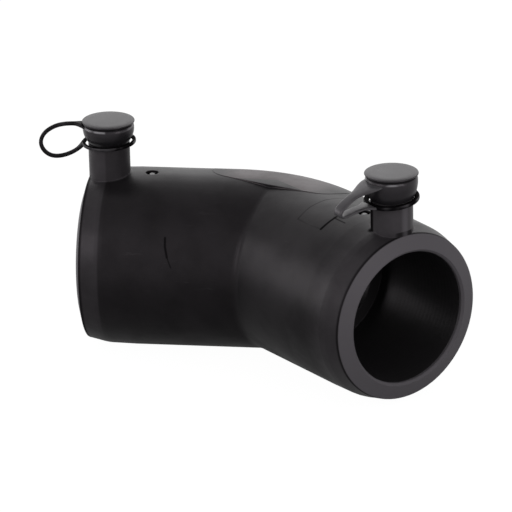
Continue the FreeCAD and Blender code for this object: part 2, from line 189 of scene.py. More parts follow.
class Recipe:
    """The nodes of one material or world."""

    def __init__(self, owner):
        owner.use_nodes = True
        self.owner = owner
        self.tree = owner.node_tree
        self.tree.nodes.clear()

    def node(self, kind, settings=None, inputs=None):
        """Any node: its settings, then what its sockets are given, by place or by name."""
        made = self.tree.nodes.new(kind)
        for name, setting in (settings or {}).items():
            setattr(made, name, setting)
        pairs = enumerate(inputs) if isinstance(inputs, list) else (inputs or {}).items()
        for key, given in pairs:
            if isinstance(given, Value):
                self.tree.links.new(given.socket, made.inputs[key])
            else:
                made.inputs[key].default_value = given
        return {s.name: Value(self, s) for s in reversed(made.outputs) if s.enabled}

    def place(self):
        return self.node("ShaderNodeTexCoord")["Object"]

    def stretch(self, where, factors):
        """Coordinates multiplied along each axis, so that a noise on them comes out as streaks."""
        settings = {"operation": "MULTIPLY"}
        return self.node("ShaderNodeVectorMath", settings, [where, factors])["Vector"]

    def noise(self, where, size, detail=4.0, roughness=0.55):
        """Cloudy noise around 0.5, whose lumps are about size metres wide."""
        sockets = {"Vector": where, "Scale": 1 / size, "Detail": detail, "Roughness": roughness}
        return self.node("ShaderNodeTexNoise", {"noise_dimensions": "3D"}, sockets)["Fac"]

    def along(self, where, start, way):
        """How far a place lies along a way from a start."""
        way = tuple(way)
        dot = self.node("ShaderNodeVectorMath", {"operation": "DOT_PRODUCT"}, [where, way])["Value"]
        return dot - Vector(start).dot(Vector(way))

    def from_upright(self, where, centre):
        """How far a place lies from the upright line through a centre."""
        x = self.along(where, centre, (1, 0, 0))
        y = self.along(where, centre, (0, 1, 0))
        return (x * x + y * y) ** 0.5

    def from_line(self, where, start, way):
        """How far a place lies from an endless line."""
        settings = {"operation": "DISTANCE"}
        reach = self.node("ShaderNodeVectorMath", settings, [where, tuple(start)])["Value"]
        ahead = self.along(where, start, way)
        return (reach * reach - ahead * ahead).most(0) ** 0.5

    def stroke(self, where, points, width):
        """A mask of thin straight strokes from point to point, given in millimetres."""
        nearest = 1.0
        for first, last in zip(points, points[1:]):
            start = Vector(first) / 1000
            run = Vector(last) / 1000 - start
            way = run.normalized()
            ahead = self.along(where, start, way)
            past = ahead - ahead.most(0).least(run.length)
            across = self.from_line(where, start, way)
            gap = (across * across + past * past) ** 0.5
            nearest = gap.least(nearest)
        return nearest.fall(width * STROKE_CORE, width)

    def edges(self, radius, turn):
        """A normal that is rounded at edges, and how much of an edge a place is."""
        soft = self.node("ShaderNodeBevel", {"samples": 6}, {"Radius": radius})["Normal"]
        flat = self.node("ShaderNodeNewGeometry")["Normal"]
        same = self.node("ShaderNodeVectorMath", {"operation": "DOT_PRODUCT"}, [soft, flat])["Value"]
        return soft, (1 - same).rise(0.0, turn)

    def blend(self, share, first, second):
        """A colour between two others."""
        sockets = {MIX_FACTOR: share, MIX_FIRST: opaque(first), MIX_SECOND: opaque(second)}
        return self.node("ShaderNodeMix", {"data_type": "RGBA"}, sockets)["Result"]

    def bump(self, strength, distance, height, **normal):
        """A normal that leans as if the surface had a height."""
        sockets = {"Strength": strength, "Distance": distance, "Height": height, **normal}
        return self.node("ShaderNodeBump", None, sockets)["Normal"]

    def finish(self, shader, output="ShaderNodeOutputMaterial"):
        self.node(output, None, {"Surface": shader})
        print(self.owner.name, "has", len(self.tree.nodes), "nodes")
        return self.owner

    def surface(self, ink=None, **sockets):
        """The plain shader, with matt black over it where the ink mask is 1."""
        shader = self.node("ShaderNodeBsdfPrincipled", None, sockets)["BSDF"]
        if ink is not None:
            matt = self.node("ShaderNodeBsdfDiffuse", None, {"Color": INK})["BSDF"]
            shader = self.node("ShaderNodeMixShader", None, [ink, shader, matt])["Shader"]
        return self.finish(shader)


def new_recipe(name):
    return Recipe(bpy.data.materials.new(name))


def from_terminals(recipe, where):
    """How far a place lies from the nearer terminal's axis."""
    near = recipe.from_upright(where, TERMINALS["a"])
    return near.least(recipe.from_upright(where, TERMINALS["b"]))


# %% [markdown]
# ## Marks and painted light on the moulded body
# The lip at each mouth is painted paler, as painted light, with a line of painted shade behind it,
# and the bands next to the lips are painted highlights. The bore is painted to an even dim tone, the
# saddle's top carries a painted sheen, and strap B and ring B cast painted shadows on the body. Fine
# turns of wire lie under the bore's skin, and there are a few scratches. A painted image could hold
# them too, but distances from the mouths and terminals keep each on its own feature.

# %% Where the marks lie
# Each pair is where a mask starts and ends its fade, in metres.
SHROUD_OUT = (0.0064, 0.0070)
SHROUD_FOOT = (0.024, 0.027)
LIP_INSET = (0.0014, 0.0017)
BORE_OUT = (0.0204, 0.0208)
# The dark line just behind each lip is painted shade.
SHADE_LINE_START = (0.0013, 0.0016)
SHADE_LINE_END = (0.0018, 0.0026)
SHADE_LINE_OUT = (0.0266, 0.0270)
# The bands next to the lips are painted paler, as highlights where the light catches the tapered shoulders.
LIT_BAND_A = (0.0071, 0.0079)
LIT_BAND_B = (0.003, 0.018)
# Where the saddle's top is painted paler, as painted sheen.
TOP_SHEEN_HEIGHT = (0.016, 0.0272)
TOP_SHEEN_OUT = (0.012, 0.0215)
WINDING_PITCH = 0.0016
# Points in millimetres, the width to each side of them in metres, and how black the stroke is.
SCRATCHES_AND_PAINTED_SHADOWS = [
    # Two scratches on leg A.
    ([(27.8, -22.6, 14.8), (27.9, -23.9, 12.5), (28.6, -25.2, 9.6)], 0.00055, 0.8),
    ([(28.6, -25.2, 9.6), (29.8, -26.2, 6.7)], 0.0003, 0.7),
    # The rest are painted shadows of strap B and ring B: two strokes under the loop, two faint lines beside
    # it over the bend, and one dark line down shroud B's side.
    ([(80.2, -29.9, 26.0), (76.2, -34.1, 23.8)], 0.0007, 0.95),
    ([(79.8, -30.4, 25.9), (83.3, -34.0, 25.8)], 0.0004, 0.7),
    ([(68.4, -26.4, 23.7), (71.5, -22.0, 25.9), (75.5, -18.6, 26.9), (80.9, -16.3, 26.8)], 0.0004, 0.4),
    ([(68.4, -26.4, 23.7), (72.0, -30.5, 23.8), (76.2, -34.1, 23.8)], 0.0004, 0.25),
    ([(91.85, -39.88, 34.6), (91.85, -39.88, 25.5)], 0.0017, 0.95),
]


def body_masks(recipe, where):
    """How much a place is on a shroud, a lip, a bore, the painted shade line, a painted band or the painted
    top, and windings.
    """
    height = recipe.along(where, ORIGIN, UP)
    inset_a = recipe.along(where, MOUTHS["a"], INWARD["a"])
    inset_b = recipe.along(where, MOUTHS["b"], INWARD["b"])
    inset = inset_a.least(inset_b)
    across_a = recipe.from_line(where, MOUTHS["a"], INWARD["a"])
    across_b = recipe.from_line(where, MOUTHS["b"], INWARD["b"])
    across = across_a.least(across_b)
    line = inset.rise(*SHADE_LINE_START) * inset.fall(*SHADE_LINE_END) * across.fall(*SHADE_LINE_OUT)
    return {
        "shroud": from_terminals(recipe, where).fall(*SHROUD_OUT) * height.rise(*SHROUD_FOOT),
        "lip": inset.fall(*LIP_INSET),
        "bore": across.fall(*BORE_OUT),
        "line": line,
        "band": inset_a.fall(*LIT_BAND_A).most(inset_b.fall(*LIT_BAND_B)),
        "top": height.rise(*TOP_SHEEN_HEIGHT) * recipe.from_upright(where, CORNER).fall(*TOP_SHEEN_OUT),
        "windings": (inset * (2 * math.pi / WINDING_PITCH)).sine(),
    }


print(len(SCRATCHES_AND_PAINTED_SHADOWS), "scratches_and_painted_shadows")

# %% [markdown]
# ## Black polyethylene
# Polyethylene for pipes is black with soot. Straight from its mould it is satin, with a fine grain,
# slow waves where it shrank, and cloudy marks where it flowed. Its colour alone would look flat, so
# noises of several sizes feed the roughness and the bump, and it is mostly the gloss that shows them.

# %% Black polyethylene
# The lamps' slight violet cast, painted into the plastics' reflections as a tint.
VIOLET_LIGHT_TINT = (1.0, 0.90, 0.98, 1)
SOOT = (0.0062, 0.0056, 0.0062)
SOOT_CLOUD = (0.0098, 0.0088, 0.0098)
# The paler tone of shrouds and scuffs, also painted on edges as wear and glints, and on the bands by the
# lips as highlights.
SCUFFED_AND_PAINTED_LIGHT = (0.046, 0.042, 0.046)
# Inside the bore a paler colour under painted shade ink gives an even dim tone.
BORE_PAINTED_TONE = (0.034, 0.032, 0.034)
# Painted sheen on the saddle's top.
TOP_SHEEN_TONE = (0.125, 0.107, 0.110)
# The lips are painted paler, standing in for the light their faces catch.
LIP_PAINTED_LIGHT_TONE = (0.098, 0.091, 0.100)


def body_colour(recipe, on, clouds, scuffs, edge_share, top_sheen_strength):
    """Soot, paler on shrouds, scuffs and edges, then the bore's tone, and painted light on bands, top and
    lip.
    """
    off_lip = 1 - on["lip"]
    # The bands next to the lips are painted highlights, mottled by the clouds.
    band = on["band"] * (0.15 + clouds * 0.6) * (1 - on["bore"])
    # Edges are painted paler, partly as wear and partly as painted glints.
    pale = (on["shroud"] * 0.5 + scuffs * 0.35 + edge_share * 0.5 + band).least(1) * off_lip
    colour = recipe.blend(clouds.rise(0.35, 0.75), SOOT, SOOT_CLOUD)
    colour = recipe.blend(pale, colour, SCUFFED_AND_PAINTED_LIGHT)
    # The bore's paler colour goes under the painted shade below, to even out its dim tone.
    colour = recipe.blend(on["bore"] * 0.8 * off_lip, colour, BORE_PAINTED_TONE)
    # The saddle's top is painted paler, a painted sheen.
    top_sheen = on["top"] * (0.8 + clouds * 0.5) * top_sheen_strength
    colour = recipe.blend(top_sheen.least(1), colour, TOP_SHEEN_TONE)
    # The lip is painted paler, as painted light on its face.
    return recipe.blend(on["lip"] * 0.9, colour, LIP_PAINTED_LIGHT_TONE)


def body_ink(recipe, where, on):
    """Black mottling, the painted shade line and bore, the scratch marks and the painted shadows."""
    off_lip = 1 - on["lip"]
    mottle = recipe.noise(where, 0.013, 5.0, 0.6).rise(0.38, 0.75) * 0.24
    # The dark line behind the lip is painted shade, as if under a small step.
    ink = (mottle * off_lip).most(on["line"] * (1 - on["bore"]) * 0.75)
    # Ink over the bore is painted shade, which also hides the lamps' highlight there.
    ink = ink.most(on["bore"] * off_lip * 0.45)
    for points, width, strength in SCRATCHES_AND_PAINTED_SHADOWS:
        ink = ink.most(recipe.stroke(where, points, width) * strength)
    return ink


def black_polyethylene(name, top_sheen_strength):
    """The body's plastic. The second number is how much paler the saddle's top is painted, as painted
    sheen.
    """
    recipe = new_recipe(name)
    where = recipe.place()
    on = body_masks(recipe, where)
    clouds = recipe.noise(where, 0.022, 3.0)
    flow = recipe.noise(recipe.stretch(where, (0.35, 1, 1)), 0.006, 5.0)
    grain = recipe.noise(where, 0.0005, 2.0)
    hairs = recipe.noise(recipe.stretch(where, (0.12, 1, 1)), 0.0012, 3.0, 0.7)
    scuffs = hairs.rise(0.62, 0.80) * clouds.rise(0.40, 0.65)
    soft, edge_share = recipe.edges(0.0004, 0.25)
    roughness = 0.36 + (clouds - 0.5) * 0.14 + (flow - 0.5) * 0.12 + scuffs * 0.15 + on["lip"] * 0.10
    relief = grain * 0.25 + flow * 0.7 + clouds * 1.5 + on["windings"] * on["bore"] * 0.12
    return recipe.surface(body_ink(recipe, where, on), **{
        "Base Color": body_colour(recipe, on, clouds, scuffs, edge_share, top_sheen_strength),
        "Roughness": roughness, "IOR": 1.5, "Specular IOR Level": 0.17, "Specular Tint": VIOLET_LIGHT_TINT,
        "Normal": recipe.bump(0.25, 0.0002, relief, Normal=soft)})


body_plastic = black_polyethylene("body_plastic", 0.0)
# The crown's copy has its top painted paler, as painted sheen.
saddle_plastic = black_polyethylene("saddle_plastic", 0.8)

# %% [markdown]
# ## Caps
# The caps are a softer grade that stays a little greyer. Their edges are painted paler, partly as wear
# and partly as painted glints. The groove under the lid is painted shade, the shoulder under it has
# painted highlight streaks, the ring is painted nearly black as shade, and one strap is painted
# shaded, the other lit. Separate materials would repeat the same plastic, so one recipe makes them
# all, with a function for each piece's own marks.

# %% Cap marks
# Heights and distances from the terminal's axis at which the marks fade, in metres.
GROOVE_LOW = (0.0423, 0.0425)
GROOVE_HIGH = (0.04296, 0.0431)
GROOVE_OUT = (0.0070, 0.0072)
SHOULDER_LOW = (0.0415, 0.0419)
SHOULDER_HIGH = (0.0421, 0.0423)
SHOULDER_OUT = (0.0078, 0.0080)
RING_FACE = (0.0079, 0.0081)


def head_painted_shade_and_highlights(recipe, where):
    """Painted shade in the groove under the lid, and painted highlight streaks on the shoulder below it."""
    height = recipe.along(where, ORIGIN, UP)
    out = from_terminals(recipe, where)
    # The groove under the lid is painted shade.
    groove = height.rise(*GROOVE_LOW) * height.fall(*GROOVE_HIGH) * out.rise(*GROOVE_OUT)
    shoulder = height.rise(*SHOULDER_LOW) * height.fall(*SHOULDER_HIGH) * out.fall(*SHOULDER_OUT)
    # Painted highlight streaks, where the shoulder glints.
    streaks = recipe.noise(where, 0.006, 1.0).rise(0.50, 0.60)
    return groove * 0.92, shoulder * streaks


def ring_painted_shade_and_light(recipe, where):
    """A ring painted nearly black as shade, and paler in patches on its outer face as painted light."""
    patches = recipe.noise(where, 0.007, 2.0).rise(0.45, 0.60)
    lit_face = from_terminals(recipe, where).rise(*RING_FACE) * patches
    # Ink of 0.96 paints the ring as shade; its outer face is painted lighter where it catches light.
    return 0.96 - lit_face * 0.7, lit_face * 0.15


def strap_painted_shade_and_light(painted_shade, painted_light_share):
    """Patches of painted shade over a strap, and painted light between them."""
    def marks(recipe, where):
        patches = recipe.noise(where, 0.005, 2.0)
        return patches.rise(0.2, 0.6) * painted_shade, (1.2 - patches) * painted_light_share
    return marks


print("the groove is", round((GROOVE_HIGH[0] - GROOVE_LOW[1]) * 1000, 2), "mm high")

# %% Cap plastic
CAP_DARK = (0.012, 0.0112, 0.0126)
CAP_CLOUD = (0.017, 0.0158, 0.0178)
# Edges are painted this paler tone, partly as wear and partly as painted glints.
CAP_EDGE_WEAR_AND_GLINT = (0.060, 0.056, 0.061)
# Painted light: highlight streaks on the shoulders, the rings' lit outer faces and the lit strap.
CAP_PAINTED_HIGHLIGHT = (0.22, 0.212, 0.225)


def grey_polyethylene(name, marks):
    """The caps' plastic: clouds and grain, with a mask of painted shade and one of painted light."""
    recipe = new_recipe(name)
    where = recipe.place()
    clouds = recipe.noise(where, 0.008, 3.0)
    grain = recipe.noise(where, 0.0004, 2.0)
    soft, edge_share = recipe.edges(0.0003, 0.30)
    painted_shade, pale = marks(recipe, where)
    colour = recipe.blend(clouds.rise(0.35, 0.75), CAP_DARK, CAP_CLOUD)
    # Edges are painted paler, partly as wear and partly as painted glints.
    colour = recipe.blend(edge_share * clouds.rise(0.3, 0.7) * 0.6, colour, CAP_EDGE_WEAR_AND_GLINT)
    # Each piece's painted shade goes on as matt ink, and its painted light as a paler colour.
    return recipe.surface(painted_shade, **{
        "Base Color": recipe.blend(pale, colour, CAP_PAINTED_HIGHLIGHT),
        "Roughness": 0.31 + (clouds - 0.5) * 0.16 + (grain - 0.5) * 0.08,
        "IOR": 1.5, "Specular IOR Level": 0.25, "Specular Tint": VIOLET_LIGHT_TINT,
        "Normal": recipe.bump(0.2, 0.0001, grain * 0.3 + clouds, Normal=soft)})


cap_plastic = grey_polyethylene("cap_plastic", head_painted_shade_and_highlights)
ring_painted_shade_plastic = grey_polyethylene("ring_painted_shade_plastic", ring_painted_shade_and_light)
# Strap A is painted dark, as shade, and strap B pale, as lit: one strap in painted shade and in painted
# light.
strap_plastics = {
    "a": grey_polyethylene("strap_plastic_shaded_a", strap_painted_shade_and_light(0.7, 0.0)),
    "b": grey_polyethylene("strap_plastic_lit_b", strap_painted_shade_and_light(0.10, 0.35)),
}

# %% [markdown]
# ## Indicators
# A fusion indicator is a plain peg, pushed up by the melt when the weld is made. It is dusty on top,
# where it stands in its pit. One flat grey would look painted, so a fine noise mixes two greys and
# lifts the bump.

# %% Indicator plastic
DUST_DARK = (0.16, 0.155, 0.16)
DUST_PALE = (0.30, 0.29, 0.30)


def dusty_plastic():
    """Two greys in fine specks, rough where they are pale."""
    recipe = new_recipe("indicator_plastic")
    dust = recipe.noise(recipe.place(), 0.0009, 4.0)
    return recipe.surface(**{
        "Base Color": recipe.blend(dust.rise(0.3, 0.7), DUST_DARK, DUST_PALE),
        "Roughness": 0.5 + (dust - 0.5) * 0.2, "IOR": 1.5, "Normal": recipe.bump(0.3, 0.0001, dust)})


indicator_plastic = dusty_plastic()

# %% [markdown]
# ## Metal
# The terminal pins are turned brass, and the winding is a drawn copper alloy. Both are hidden at
# rest, but a pin shows when its cap is lifted. A Wave texture could draw the lathe's rings, but too
# evenly, so they come from a stretched noise.

# %% Metals
BRASS = (0.75, 0.56, 0.26)
COPPER = (0.72, 0.36, 0.20)
STAIN_SHADE = 0.6


def drawn_metal(name, shade):
    """Bright metal with darker stains and fine rings."""
    recipe = new_recipe(name)
    where = recipe.place()
    stain = recipe.noise(where, 0.002, 4.0)
    rings = recipe.noise(recipe.stretch(where, (0.1, 0.1, 1)), 0.0003, 2.0)
    darker = tuple(c * STAIN_SHADE for c in shade)
    soft, edge_share = recipe.edges(0.0002, 0.3)
    return recipe.surface(**{
        "Base Color": recipe.blend(stain.rise(0.35, 0.7), darker, shade),
        "Roughness": 0.26 + stain * 0.2 + (rings - 0.5) * 0.1, "Metallic": 1.0,
        "Normal": recipe.bump(0.3, 0.00005, rings - edge_share * 0.2, Normal=soft)})


brass = drawn_metal("brass", BRASS)
copper = drawn_metal("copper", COPPER)

# %% [markdown]
# ## Finishes on the CAD nodes
# Faces could take materials one by one, but each CAD node is one piece of one plastic or metal, so
# its mesh takes one material and is otherwise left alone.

# %% Finishes
FINISHES = {
    "elbow_body": body_plastic,
    "heating_wire": copper,
    "terminal_pin_a": brass,
    "terminal_pin_b": brass,
    "fusion_indicator_a": indicator_plastic,
    "fusion_indicator_b": indicator_plastic,
    "terminal_cap_a": cap_plastic,
    "terminal_cap_b": cap_plastic,
}
for name, material in FINISHES.items():
    mesh = nodes[name].data
    mesh.materials.clear()
    mesh.materials.append(material)
    print(name, len(mesh.polygons), "faces")

# %% [markdown]
# ## Surfaces from formulas
# The pieces below are surfaces on grids of points. They could be modelled by hand, but a formula
# keeps them true to the part's sizes. Numpy works a whole grid out at once, the faces join
# neighbours, doubled points are merged, and the normals are then turned outwards.

# %% Surface helpers
SHARP = math.radians(32)
# Points closer than this, in metres, become one.
MERGE = 2e-7


def around(turns):
    """A column of angles that go once round, without the last one doubled."""
    return np.linspace(0, 2 * math.pi, turns, endpoint=False)[:, None]


def squarish(share, power):
    """A sine or cosine raised to a power with its sign kept, which squares a circle when below 1."""
    return np.sign(share) * np.abs(share) ** power


def smooth(low, high, value):
    """0 below low, 1 above high, and smooth between them."""
    t = np.clip((value - low) / (high - low), 0, 1)
    return t * t * (3 - 2 * t)


def grid_faces(rows, columns, round_rows=False):
    """Four-sided faces on a grid whose columns always close, and whose rows may."""
    row = np.arange(rows if round_rows else rows - 1)[:, None]
    column = np.arange(columns)[None, :]
    next_row = (row + 1) % rows
    next_column = (column + 1) % columns
    corners = [row * columns + column, row * columns + next_column,
               next_row * columns + next_column, next_row * columns + column]
    return np.stack([np.broadcast_to(c, (len(row), columns)) for c in corners], axis=-1).reshape(-1, 4)


def new_piece(name, grid, material, body, round_rows=False, replaced=None):
    """One closed piece, in metres, from a grid of points in millimetres."""
    rows, columns = grid.shape[:2]
    faces = grid_faces(rows, columns, round_rows).tolist()
    mesh = bpy.data.meshes.new(name)
    mesh.from_pydata((grid.reshape(-1, 3) / 1000).tolist(), [], faces)
    shape = bmesh.new()
    shape.from_mesh(mesh)
    bmesh.ops.remove_doubles(shape, verts=shape.verts, dist=MERGE)
    bmesh.ops.recalc_face_normals(shape, faces=shape.faces)
    open_edges = sum(not edge.is_manifold for edge in shape.edges)
    shape.to_mesh(mesh)
    shape.free()
    mesh.shade_smooth()
    mesh.set_sharp_from_angle(angle=SHARP)
    mesh.materials.append(material)
    piece = bpy.data.objects.new(name, mesh)
    bpy.context.scene.collection.objects.link(piece)
    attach(piece, body)
    if replaced:
        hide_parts(replaced)
    print(name, len(mesh.polygons), "faces,", open_edges, "open edges")
    return piece


print("an edge is sharp where it turns by more than", round(math.degrees(SHARP)), "degrees")

# %% [markdown]
# ## The saddle's crown
# The moulding swells over the outside of the bend, where the real one is a smooth quarter turn of
# pipe behind a fine raised line. The CAD's saddle is flatter there, and its mesh stays as it is, so
# the crown is a thick shell of its own. Its sections stand square to a bent centre line, and it sinks
# into the CAD's body on every hidden side.

# %% Crown values
# In millimetres. The bend's corner is where the two legs' axes meet.
LEG = LEG_LENGTH * 1000
HALF_BEND = BEND / 2
BODY_RADIUS = 27.0
CROWN_BEND = 35.0
CROWN_RADIUS = 27.03
CROWN_INSIDE = 22.5
CROWN_REACH = 22.03
CROWN_EDGE = 0.53
CROWN_FRONT = 7.94
CROWN_CORNER = 7.04
CROWN_SWELL = 0.47
CROWN_SETBACK = CROWN_BEND * math.tan(HALF_BEND)
SWELL_FADE = 4
SECTION_POINTS = 72
# Points crowd towards the front of a section by this power, and its back is just past the bottom.
CROWDING = 1.25
CROWN_BACK = math.radians(186)
CORNER_POINTS = 14
RUN_POINTS = 5
ARC_STATIONS = 31
# Angles from upright between which the crown tapers by a little, and its swelling fades.
TAPER = 0.05
TAPER_BAND = (math.radians(25), math.radians(80))
SWELL_BAND = (math.radians(-9), math.radians(12))
# The front stands a step above the body, higher near the bend, and blends in over an angle.
FRONT_STEP = 0.05
STEP_GROWTH = 0.17
FRONT_BLEND = math.radians(22)
LEG_B_WAY = np.array([math.cos(BEND), -math.sin(BEND)])
LEG_B_OUT = np.array([math.sin(BEND), math.cos(BEND)])


def front_on_leg():
    """The front line along a leg: a run that leans by half the bend, then a round corner.

    It gives distances from the bend's corner, and the line's offset from the leg's axis at each.
    """
    corner_x = CROWN_REACH - CROWN_CORNER
    tail = corner_x + CROWN_CORNER * np.sin(np.linspace(HALF_BEND, math.pi / 2, CORNER_POINTS))
    lead = np.linspace(CROWN_SETBACK, tail[0], RUN_POINTS)[1:-1]
    out = np.concatenate([lead, tail])
    edge = CROWN_EDGE - (CROWN_REACH - out) * math.tan(HALF_BEND)
    corner_y = edge[len(lead)] + CROWN_CORNER * math.cos(HALF_BEND)
    curve = corner_y - np.sqrt(np.maximum(CROWN_CORNER ** 2 - (out - corner_x) ** 2, 0))
    return out, np.where(out > tail[0], curve, edge)


def crown_stations():
    """Stations from leg A's end to leg B's end: straight, an arc about the hub, and straight.

    Each has its place, the way outward, the front line's offset, and its distance from the corner.
    """
    out, edge = front_on_leg()
    turn = np.linspace(-HALF_BEND, HALF_BEND, ARC_STATIONS)
    arc_edge = (CROWN_BEND / math.cos(HALF_BEND) - CROWN_FRONT) / np.cos(turn) - CROWN_BEND
    arc_out = np.stack([np.sin(turn + HALF_BEND), np.cos(turn + HALF_BEND)], axis=1)
    hub = np.array([LEG - CROWN_SETBACK, -CROWN_BEND])
    a_place = np.stack([LEG - out[::-1], 0 * out], axis=1)
    b_place = np.array([LEG, 0]) + out[:, None] * LEG_B_WAY
    place = np.concatenate([a_place, hub + CROWN_BEND * arc_out, b_place])
    a_outward = np.tile([0.0, 1.0], (len(out), 1))
    outward = np.concatenate([a_outward, arc_out, np.tile(LEG_B_OUT, (len(out), 1))])
    front = np.concatenate([edge[::-1], arc_edge, edge])
    far = np.concatenate([out[::-1], CROWN_SETBACK * np.abs(turn) / HALF_BEND, out])
    return place, outward, front, far


def crown_radii(place, outward, front, far, angle):
    """The radius at each angle from upright: a swelling in front, brought down to meet the body."""
    near_bend = 1 - smooth(SWELL_FADE, CROWN_REACH, far)
    radius = CROWN_RADIUS - TAPER * smooth(*TAPER_BAND, angle)
    swell = CROWN_SWELL * near_bend[:, None]
    radius = radius + swell * (1 - smooth(*SWELL_BAND, angle))
    front_place = place + front[:, None] * outward
    from_a = np.abs(front_place[:, 1])
    from_b = np.abs((front_place - [LEG, 0]) @ LEG_B_OUT)
    step = FRONT_STEP + STEP_GROWTH * near_bend
    front_height = np.sqrt(BODY_RADIUS ** 2 - np.minimum(from_a, from_b) ** 2) + step
    drop = radius[:, 0] - np.hypot(front, front_height)
    return radius - drop[:, None] * (1 - smooth(0, FRONT_BLEND, angle - angle[:, :1]))


def crown_grid():
    """Sections of a bent tube, each from the front line over the top to just past the bottom.

    A point stands at place + radius * sin(angle) * outward, at the height radius * cos(angle). The
    second half of each section runs back inside at a smaller radius.
    """
    place, outward, front, far = crown_stations()
    start = np.arcsin(front / BODY_RADIUS)[:, None]
    share = np.linspace(0, 1, SECTION_POINTS)[None, :] ** CROWDING
    angle = start + (CROWN_BACK - start) * share
    radius = crown_radii(place, outward, front, far, angle)
    angles = np.concatenate([angle, angle[:, ::-1]], axis=1)
    radii = np.concatenate([radius, np.full_like(angle, CROWN_INSIDE)], axis=1)
    side = radii * np.sin(angles)
    height = radii * np.cos(angles)
    points = place[:, None, :] + side[..., None] * outward[:, None, :]
    return np.concatenate([points, height[..., None]], axis=2)


def closed_ends(grid):
    """Closes a tube at both ends: a ladder from each end section's near side to its far side."""
    half = grid.shape[1] // 2
    far_side = np.concatenate([grid[:, half:][:, ::-1], grid[:, :half][:, ::-1]], axis=1)
    middle = (grid + far_side) / 2
    return np.concatenate([middle[:1], grid, middle[-1:]], axis=0)


print("the crown starts to bend", round(CROWN_SETBACK, 1), "mm before the corner")

# %% Crown
new_piece("saddle_crown", closed_ends(crown_grid()), saddle_plastic, "elbow")

# %% [markdown]
# ## The caps
# Each cap is one soft moulding: a thin lid over a bowl with a plug under it, a strap that bends
# round in a loop, and a ring round the terminal. The CAD's caps have few facets and a shallow bowl,
# so three turned and swept surfaces stand in for each, on the same body and in the same place.

# %% Cap values
# Millimetres, with heights from the sockets' axes and reaches from the terminal's axis.
RIM = 36.3
CAP_TURNS = {"a": math.radians(186), "b": math.radians(222)}


def on_terminal(leg, out, across, height):
    """Points given along the strap's way, across it and upward, placed on a terminal."""
    turn = CAP_TURNS[leg]
    x = TERMINALS[leg].x * 1000 + out * math.cos(turn) - across * math.sin(turn)
    y = TERMINALS[leg].y * 1000 + out * math.sin(turn) + across * math.cos(turn)
    return np.stack(np.broadcast_arrays(x, y, height), axis=-1)


print("strap A leaves at", round(math.degrees(CAP_TURNS["a"])), "degrees from leg A's way in")

# %% [markdown]
# ### Heads
# A head is round, so half of its section is drawn and turned about the terminal. A Screw modifier
# could turn it too, but a formula puts it straight in its place. The bowl's side follows a sine, the
# shoulder is a quarter of an ellipse, and the lid's edge is half a circle.

# %% Heads
LID_TOP = 43.65
HOLLOW_TOP = 40.5
HOLLOW_RADIUS = 3.3
PLUG_RADIUS = 4.6
PLUG_FOOT = 32.3
SEAT = RIM + 0.02
SHROUD_CLEAR = 6.29
BOWL_TOP = 40.9
BOWL_WIDEST = 7.75
BOWL_ROUNDING = 0.9
GROOVE_RADIUS = 7.15
SHOULDER_FOOT = 41.35
SHOULDER_HALVES = (0.60, 1.05)
LID_UNDER = 42.95
LID_EDGE_CENTRE = (7.72, 43.18)
LID_EDGE_RADIUS = 0.23
LID_FACE = [(7.2, 43.55), (6.6, 43.63), (5.5, LID_TOP), (0, LID_TOP)]
# Cap A's bowl rests on its shroud's rim, and cap B's is pushed a little way down over it.
BOWL_FEET = {"a": (5.75, SEAT), "b": (6.40, 35.5)}


def arc(centre, halves, start, end):
    """Nine points at centre + halves * (cosine, sine), from one angle to another."""
    angle = np.linspace(start, end, 9)
    return np.stack([centre[0] + halves[0] * np.cos(angle), centre[1] + halves[1] * np.sin(angle)], axis=1)


def head_outline(leg):
    """Half of the head's section, from the middle of its hollow out and round to the lid's middle."""
    rise = np.linspace(0, 1, 22)
    foot, start = BOWL_FEET[leg]
    swell = (BOWL_WIDEST - foot) * np.sin(rise * math.pi / 2) ** BOWL_ROUNDING
    bowl = np.stack([foot + swell, start + (BOWL_TOP - start) * rise], axis=1)
    inside = [(HOLLOW_RADIUS, HOLLOW_TOP), (HOLLOW_RADIUS, PLUG_FOOT), (PLUG_RADIUS, PLUG_FOOT),
              (PLUG_RADIUS, SEAT)]
    if start < RIM:
        inside += [(SHROUD_CLEAR, SEAT), (SHROUD_CLEAR, start)]
    shoulder = arc((GROOVE_RADIUS, SHOULDER_FOOT), SHOULDER_HALVES, 0, math.pi / 2)
    rim = arc(LID_EDGE_CENTRE, (LID_EDGE_RADIUS, LID_EDGE_RADIUS), -math.pi / 2, math.pi / 2)
    lid = [(GROOVE_RADIUS, LID_UNDER), *rim, *LID_FACE]
    return np.array([(0, HOLLOW_TOP), *inside, *bowl, *shoulder, *lid])


def head_grid(leg, turns=96):
    """The outline turned about the terminal's axis."""
    outline = head_outline(leg)
    angle = around(turns).T
    radius = outline[:, :1]
    return on_terminal(leg, radius * np.cos(angle), radius * np.sin(angle), outline[:, 1:] + 0 * angle)


print("lid's width:", 2 * head_outline("a")[:, 0].max(), "mm")

# %% [markdown]
# ### Rings
# A ring is a rounded band round the terminal, a little tilted by the pull of its strap. A torus
# would be too round in section, so the section's sine and cosine are squared off a little.

# %% Rings
RING_RADIUS = 8.20
RING_BORES = {"a": 7.05, "b": 6.70}
RING_HEIGHTS = {"a": 36.65, "b": 35.30}
RING_HALF_HEIGHTS = {"a": 0.5, "b": 0.62}
RING_TILTS = {"a": math.radians(2), "b": math.radians(5)}
RING_SQUARENESS = 0.6


